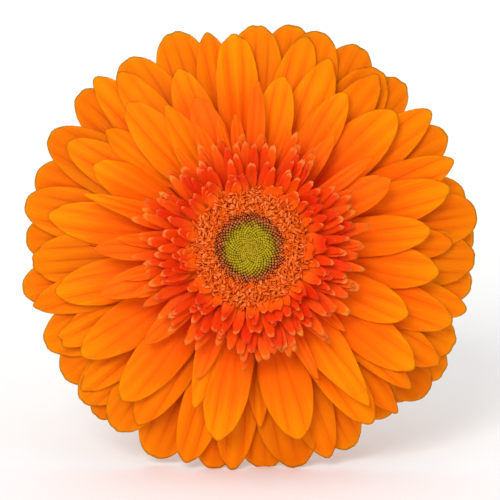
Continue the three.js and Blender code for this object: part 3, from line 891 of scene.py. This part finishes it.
TUBE_RING = 10.35e-3
TUBE_COUNT = 62
TUBE_HALF = 0.52e-3
TUBE_LEVELS = ((0.8, 0.0), (1.0, 4.0), (0.9, 14.0), (1.0, 24.0), (1.1, 26.5), (0.5, 27.2))
YOUNG_COUNT = 1250
YOUNG_INNER, YOUNG_OUTER = 6.7e-3, 13.6e-3
YOUNG_HEIGHT = 16.3e-3
YOUNG_LEVELS = ((1.4, -9.0), (1.4, -2.6), (1.0, -1.0), (0.7, 0.1), (0.6, 0.6), (0.3, 0.95))


def tube_material(name, gap_end, low, high, low_outside, high_outside):
    """A floret's tube: its colours low down and at its top, in the middle and outside of its ring."""
    material, pen = new_material(name, specular=0.08)
    rise, tone, ring, place = crowd_wires(pen)
    patches = pen.noise(place, 400.0)
    outside = ring.step(0.12, 0.4)
    share = (rise + (tone - 0.5) * 0.3 + (patches - 0.5) * 0.2).step(gap_end, 1.0)
    colour = share.blend(outside.blend(low, low_outside), outside.blend(high, high_outside))
    return finished(material, colour, 0.45 + patches * 0.25)


tube_colours = ((250, 190, 96), (244, 92, 14))
values = {"Material": tube_material("floret_tube", 0.1, *tube_colours, *tube_colours), "Count": TUBE_COUNT,
          "Foot Radius": TUBE_RING, "Lift": 0.03, "Roll": 0.03, "Wander": 0.12, "Seed": 51}
tube_shapes = [bud_shape("shape_tube", TUBE_LEVELS, TUBE_LEVELS[-1][1], TUBE_HALF)]
piece = grown("floret_tubes", trans_row, tube_shapes, values)
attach(piece, "root")

young_look = tube_material("young_disc_tube", 0.5, (96, 32, 4), (206, 98, 46), (238, 98, 8), (250, 120, 20))
values = {"Material": young_look, "Count": YOUNG_COUNT, "Inner Radius": YOUNG_INNER,
          "Outer Radius": YOUNG_OUTER, "Power": 1.0, "Height": YOUNG_HEIGHT, "Dome": 0.9e-3, "Crest": 0.4,
          "Stray": 0.1e-3, "Tilt": 0.15, "Lean": 0.2, "Size": 0.31e-3, "Size Change": 0.15, "Seed": 37}
piece = grown("young_disc_tubes", field, [bud_shape("shape_young", YOUNG_LEVELS, 1.0)], values)
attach(piece, "root")

# ---- Ovaries and pappus ----
# The bundle of ovaries that every floret grows on, wrapped in the pale silky hairs of the pappus. It is
# packed between the receptacle and the florets, and shows only in the gaps.

pappus_material, pen = new_material("pappus")
threads = pen.noise(pen.stretched(pen.place(), (900.0, 60.0, 900.0)), 1.0, 3.0)
silk = threads.step(0.3, 0.7).blend((206, 186, 130), (244, 236, 206))
finished(pappus_material, silk, 0.7 + threads * 0.2, threads.bump(0.0003, 0.8))
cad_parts["ovaries_and_pappus"].data.materials.clear()
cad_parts["ovaries_and_pappus"].data.materials.append(pappus_material)

# ---- Receptacle and bracts ----
# The green cup under the florets: the receptacle, which is the swollen end of the stem, and two rows of
# pointed, hairy bracts that overlap like scales and hold the ray florets from behind.

CUP_DEPTH = 15.0e-3
CUP_RADIUS = 13.4e-3
NECK_RADIUS = 2.7e-3
CUP_SEGMENTS = 64
CUP_RIBS = 16
CUP_BENDS = (2.0, 82.0, 26)     # degrees up the bowl of its first and last ring, and how many there are
CUP_TOP = ((10.6e-3, -0.9e-3), (5.0e-3, -0.9e-3))   # radius and height of the two rings of its flat top
CUP_RIB_DEPTH = 0.008           # as a share of the radius
BRACT_FOOT = 14.0       # degrees up the cup, as the tips are
BRACT_ROWS = (          # node, count, tip, distance out of the cup, turn of the row in degrees
    ("bracts_inner", 16, 84.0, 0.9e-3, 0.0),
    ("bracts_outer", 14, 66.0, 2.2e-3, 9.0),
)
BRACT_COLUMNS, BRACT_STEPS = 10, 22
BRACT_THICKNESS = 0.7e-3
BRACT_BASE = 0.45       # its width at the foot, as a share of its full width ...
BRACT_FULL = 0.35       # ... which it has from this share of the way
BRACT_KEEL = 0.25e-3    # how far its middle stands out
KEEL_HALF = 0.16        # the half width of that ridge, as a share of the bract's
BRACT_HOLLOW = 0.3e-3   # how far its edges bend in
BRACT_LAP = 0.25e-3     # how much higher one edge lies than the other, over the next bract


def cup_point(angle, outset):
    """Radius and height on the cup, at an angle in degrees from its bottom to its rim."""
    bend = np.radians(angle)
    radius = NECK_RADIUS + (CUP_RADIUS - NECK_RADIUS) * np.sin(bend) + outset * np.sin(bend)
    return radius, -(CUP_DEPTH + outset) * np.cos(bend)


def green_material(name, light, dark, streaks, tip_colour):
    """Living green with fine streaks along the piece, a paler bloom in patches, and a coloured tip."""
    material, pen = new_material(name, specular=0.25, flesh=0.1, glow=(0.4, 1.0, 0.2))
    lines = pen.noise(pen.stretched(pen.attribute("skin", 1), streaks), 1.0, 3.0)
    patches = pen.noise(pen.place(), 120.0)
    colour = (lines * 0.8 + (patches - 0.5) * 0.8).clamped().blend(dark, light)
    colour = (pen.attribute("run") + (patches - 0.5) * 0.1).step(0.86, 1.02).blend(colour, tip_colour)
    return finished(material, colour, 0.5 + patches * 0.25, lines.bump(0.0002, 0.7))


def bract_mesh(direction, foot, tip, outset, half, row):
    """Points, faces, skin and run of one closed bract on the cup, in the head's axes."""
    side = np.linspace(-1.0, 1.0, BRACT_COLUMNS + 1)
    run = np.linspace(0.0, 1.0, BRACT_STEPS + 1)
    u, v = np.meshgrid(side, run)
    outline = BRACT_BASE + (1.0 - BRACT_BASE) * smooth(0.0, BRACT_FULL, v)
    outline *= np.clip(1.0 - v ** row["sharp"], 0.0, 1.0) ** 0.75
    radius, _ = cup_point(foot + (tip - foot) * v, outset)
    angle = direction + u * outline * half / np.maximum(radius, 6e-3)
    keel = BRACT_KEEL * np.exp(-((u / KEEL_HALF) ** 2))
    away = outset + BRACT_LAP * u + row["flare"] * v ** 4 - BRACT_HOLLOW * u ** 2 + keel
    thick = BRACT_THICKNESS * (1.0 - np.abs(u) ** 4 * 0.85) * (1.0 - 0.8 * v ** 3)
    layers = []
    for way in (0.5, -0.5):
        far, height = cup_point(foot + (tip - foot) * v, away + way * thick)
        layers.append(np.stack([far * np.cos(angle), far * np.sin(angle), height], -1).reshape(-1, 3))
    outer = np.arange(u.size).reshape(u.shape)
    inner = outer + u.size
    edge = np.concatenate([outer[0, :-1], outer[:-1, -1], outer[-1, :0:-1], outer[:0:-1, 0]])
    back = edge + u.size
    wall = np.stack([edge, np.roll(edge, -1), np.roll(back, -1), back], -1)
    faces = np.vstack([quads(outer, turned=True), quads(inner, turned=True)[:, ::-1], wall])
    skin = np.stack([u, v, np.full_like(u, direction)], -1).reshape(-1, 3)
    return np.vstack(layers), faces.tolist(), np.vstack([skin, skin]), np.tile(v.ravel(), 2)


def recalculated(piece):
    """Turns a closed mesh's faces outwards, after merging what lies together."""
    work = bmesh.new()
    work.from_mesh(piece.data)
    bmesh.ops.remove_doubles(work, verts=work.verts, dist=1e-7)
    bmesh.ops.recalc_face_normals(work, faces=work.faces)
    work.to_mesh(piece.data)
    work.free()
    return piece


def add_green(name, parts, material):
    """One closed piece from parts in the row frame, with the attributes skin and run."""
    starts = np.cumsum([0] + [len(part[0]) for part in parts])
    points = np.vstack([part[0] for part in parts])
    points[:, 2] = np.maximum(points[:, 2], 0.0)
    faces = [[corner + start for corner in face] for part, start in zip(parts, starts) for face in part[1]]
    piece = add_mesh(name, points, faces, material)
    skin = piece.data.attributes.new("skin", "FLOAT_VECTOR", "POINT")
    skin.data.foreach_set("vector", np.vstack([part[2] for part in parts]).ravel())
    set_values(piece, "run", np.concatenate([part[3] for part in parts]))
    return recalculated(piece)


def turned_surface(rings, skins, run):
    """Points, faces, skin and run of a solid through rings of points, its ends closed at their middles."""
    count, sides = len(rings), len(rings[0])
    grid = ring_grid(count, sides)
    faces = quads(grid).tolist()
    ends = [0, count - 1]
    for pole, end in enumerate(ends, count * sides):
        faces += [[pole, grid[end][i], grid[end][i + 1]] for i in range(sides)]
    points = np.vstack([np.vstack(rings), [rings[end].mean(0) for end in ends]])
    skin = np.vstack([np.vstack(skins), [skins[end][0] for end in ends]])
    return points, faces, skin, np.concatenate([np.repeat(run, sides), [run[end] for end in ends]])


def cup_surface():
    """The receptacle: its bowl with faint ribs under the bracts, and its flat top."""
    angle = np.linspace(0.0, math.tau, CUP_SEGMENTS, endpoint=False)
    levels = [cup_point(bend, 0.0) for bend in np.linspace(*CUP_BENDS)] + list(CUP_TOP)
    cosine, sine = np.cos(angle), np.sin(angle)
    rings, skins = [], []
    for number, (radius, height) in enumerate(levels):
        reach = radius * (1.0 + CUP_RIB_DEPTH * np.cos(angle * CUP_RIBS))
        rings.append(np.stack([reach * cosine, reach * sine, np.full_like(angle, height)], -1))
        skins.append(np.stack([cosine, sine, np.full_like(angle, number / len(levels))], -1))
    points, faces, skin, run = turned_surface(rings, skins, [0.0] * len(levels))
    return from_head(points), faces, skin, run


bract_green = green_material("bract_green", (128, 152, 74), (74, 102, 40), (13.0, 1.5, 1.0), (122, 70, 44))
cup_green = green_material(
    "receptacle_green", (150, 172, 92), (104, 132, 58), (9.0, 9.0, 2.0), (128, 150, 74))
piece = add_green("receptacle_cup", [cup_surface()], cup_green)
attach(piece, "root")
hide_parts("receptacle")

bract_pieces = []
for node, count, tip, outset, start in BRACT_ROWS:
    parts = []
    for number in range(count):
        direction = math.radians(start + 360.0 / count * (number + seed.uniform(-0.12, 0.12)))
        row = {"sharp": seed.uniform(1.9, 2.6), "flare": seed.uniform(0.1, 0.9) * 1e-3}
        half = math.pi * CUP_RADIUS / count * seed.uniform(1.05, 1.2)
        reach = tip + seed.uniform(-4.0, 2.0)
        points, *rest = bract_mesh(direction, BRACT_FOOT, reach, outset, half, row)
        parts.append((from_head(points), *rest))
    piece = add_green(node.replace("bracts", "bract_row"), parts, bract_green)
    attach(piece, "root")
    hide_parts(node)
    bract_pieces.append(piece)

# ---- Stem ----
# The leafless flower stalk: round, faintly ribbed and softly hairy, a little swollen under the head and
# reddish near its foot, where it was cut across and shows its pale pith and hollow middle.

STEM_REACH = 280.0e-3
CUT_RADIUS = 3.4e-3
CUT_SLOPE = math.radians(4.0)
STEM_SIDES = 36
STEM_RINGS = 150
STEM_RIBS = 9
STEM_RIB_DEPTH = 0.018  # as a share of the radius
STEM_RIB_TURN = 2.0     # how far they wind around it, in radians
STEM_SWELLING = 0.5e-3
SWELLING_SHARE = 0.03   # the length of the swelling, as a share of the stem's
STEM_WAVE = 0.04e-3
STEM_WAVES = 40.0       # in radians
STEM_HOLD = (0.45, 0.3)         # how far it keeps its direction at the head and at the cut, by its reach
STEM_GAP = 0.3e-3       # from the cup's bottom to the stem's first ring
HAIR_LENGTH = 0.8e-3
HAIR_RADIUS = 0.035e-3
BRACT_HAIRS = 0.6       # how long the bracts' hairs are beside the stem's
STEM_DENSITY, BRACT_DENSITY = 4.2e5, 6.0e5      # hairs on a square metre
CUT_RINGS = (           # past the cut, inwards from its edge, share of the ribs, run: the cut's rim
    (0.1e-3, 0.12e-3, 0.6, 0.81), (0.05e-3, 0.7e-3, 0.2, 0.84))
HOLLOW_RINGS = (        # past the cut, radius, run: the pith's edge and the hollow
    (-0.2e-3, 1.6e-3, 0.85), (-0.5e-3, 1.0e-3, 0.87), (-3e-3, 0.8e-3, 0.95))

neck = from_head(np.array([0.0, 0.0, -CUP_DEPTH - STEM_GAP]))
cut = np.array([0.0, neck[1] + STEM_REACH, CUT_RADIUS * math.cos(CUT_SLOPE)])
landing = np.array([0.0, math.cos(CUT_SLOPE), -math.sin(CUT_SLOPE)])
holds = [STEM_REACH * share for share in STEM_HOLD]
line = [neck, neck - face * holds[0], cut - landing * holds[1], cut]


def along_stem(share):
    """Centre and direction of the stem at a share of its way, on one smooth cubic curve."""
    rest = 1.0 - share
    pulls = (rest ** 3, 3 * rest ** 2 * share, 3 * rest * share ** 2, share ** 3)
    centre = sum(pull * point for pull, point in zip(pulls, line))
    pulls = (rest ** 2, 2 * rest * share, share ** 2)
    way = sum(pull * (after - point) for pull, point, after in zip(pulls, line, line[1:]))
    return centre, unit(way)


def stem_surface():
    """The stem: its ribbed side, then the cut face, the edge of the pith and the hollow."""
    levels = []
    for ring in range(STEM_RINGS + 1):
        share = ring / STEM_RINGS
        radius = NECK_RADIUS + (CUT_RADIUS - NECK_RADIUS) * share
        swelling = STEM_SWELLING * math.exp(-((share / SWELLING_SHARE) ** 2))
        swelling += STEM_WAVE * math.sin(share * STEM_WAVES)
        levels.append((share, 0.0, radius + swelling, 1.0, 0.8 * share))
    levels += [(1.0, past, CUT_RADIUS - inwards, ribbed, run) for past, inwards, ribbed, run in CUT_RINGS]
    levels += [(1.0, past, radius, 0.0, run) for past, radius, run in HOLLOW_RINGS]
    angle = np.linspace(0.0, math.tau, STEM_SIDES, endpoint=False)
    rings, skins = [], []
    for share, past, radius, ribbed, _ in levels:
        centre, way = along_stem(share)
        over = unit(np.cross([1.0, 0.0, 0.0], way))
        ribs = 1.0 + STEM_RIB_DEPTH * ribbed * np.cos(angle * STEM_RIBS + share * STEM_RIB_TURN)
        reach = (radius * ribs)[:, None]
        around = np.cos(angle)[:, None] * np.array([1.0, 0.0, 0.0]) + np.sin(angle)[:, None] * over
        rings.append(centre + way * past + reach * around)
        skins.append(np.stack([np.cos(angle), np.sin(angle), np.full_like(angle, share)], -1))
    return turned_surface(rings, skins, [level[4] for level in levels])


def stem_material():
    """Pale green with fine streaks, a dull red flush towards the foot, pale pith at the cut, and painted
    shade as dark olive down in the hollow.
    """
    material, pen = new_material("stem_green", specular=0.3, flesh=0.1, glow=(0.5, 1.0, 0.25))
    run = pen.attribute("run")
    lines = pen.noise(pen.stretched(pen.attribute("skin", 1), (6.0, 6.0, 5.0)), 1.0, 3.0)
    patches = pen.noise(pen.place(), 60.0)
    colour = (lines * 0.9 + (patches - 0.5) * 0.7).clamped().blend((104, 134, 58), (158, 182, 100))
    flush = (run + (patches - 0.5) * 0.3).step(0.5, 0.8) * 0.55
    colour = flush.blend(colour, (150, 96, 70))
    colour = run.step(0.805, 0.83).blend(colour, (222, 224, 176))
    # Dark olive down in the hollow: painted shade.
    colour = run.step(0.86, 0.9).blend(colour, (96, 92, 52))
    return finished(material, colour, 0.42 + patches * 0.25, lines.bump(0.0002, 0.7))


def hair_tree():
    """Fine hairs that stand on another piece, each tilted a little from the surface."""
    tree, pen, inputs = new_tree("hairs", {
        "Surface": None, "Density": 4.0e5, "Tilt": 0.5, "Size Change": 0.35})
    ground = pen.make("GeometryNodeObjectInfo", None, {"Object": inputs["Surface"]}).other("Geometry")
    links = {"Mesh": ground, "Density": inputs["Density"], "Seed": inputs["Seed"]}
    points = pen.make("GeometryNodeDistributePointsOnFaces", None, links)
    number = inputs["Seed"]
    lean = vector(pen, about(pen, inputs["Tilt"], number + 1), about(pen, inputs["Tilt"], number + 2), 0.0)
    turn = pen.make("FunctionNodeEulerToRotation", None, {"Euler": lean})
    links = {0: points.other("Rotation"), 1: turn}
    turned = pen.make("FunctionNodeRotateRotation", {"rotation_space": "LOCAL"}, links)
    euler = pen.make("FunctionNodeRotationToEuler", None, {0: turned})
    size = 1.0 + about(pen, inputs["Size Change"], number + 3)
    attributes = {"tone": chance(pen, 0.0, 1.0, number + 4)}
    picked_instances(pen, points, inputs, euler, vector(pen, 1.0, 1.0, size), attributes)
    return tree


def hair_shape(length):
    """A bent three-sided spike, to stand on the skin."""
    corners = [math.tau * i / 3 for i in range(3)]
    points = [(HAIR_RADIUS * math.cos(corner), HAIR_RADIUS * math.sin(corner), 0.0) for corner in corners]
    points += [(x * 0.5 + 0.1 * length, y * 0.5, length * 0.6) for x, y, z in points]
    points.append((0.3 * length, 0.0, length))
    faces = quads(ring_grid(2, 3)).tolist() + [(0, 2, 1), (3, 4, 6), (4, 5, 6), (5, 3, 6)]
    return add_mesh("shape_hair", points, faces, None)


def hair_material():
    material, pen = new_material("pale_hair", roughness=0.6)
    return finished(material, pen.attribute("tone").blend((206, 214, 168), (238, 238, 216)))


stem = add_green("stem_stalk", [stem_surface()], stem_material())
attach(stem, "root")
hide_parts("stem")

hairs = hair_tree()
hair_look = hair_material()
for carrier, length, density, number in (
    (stem, HAIR_LENGTH, STEM_DENSITY, 301),
    (bract_pieces[0], BRACT_HAIRS * HAIR_LENGTH, BRACT_DENSITY, 302),
    (bract_pieces[1], BRACT_HAIRS * HAIR_LENGTH, BRACT_DENSITY, 303),
):
    values = {"Surface": carrier, "Material": hair_look, "Density": density, "Seed": number}
    piece = grown(carrier.name + "_hairs", hairs, [hair_shape(length)], values,
                  lambda points: np.maximum(points, [-1.0, -1.0, 0.0]))
    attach(piece, "root")
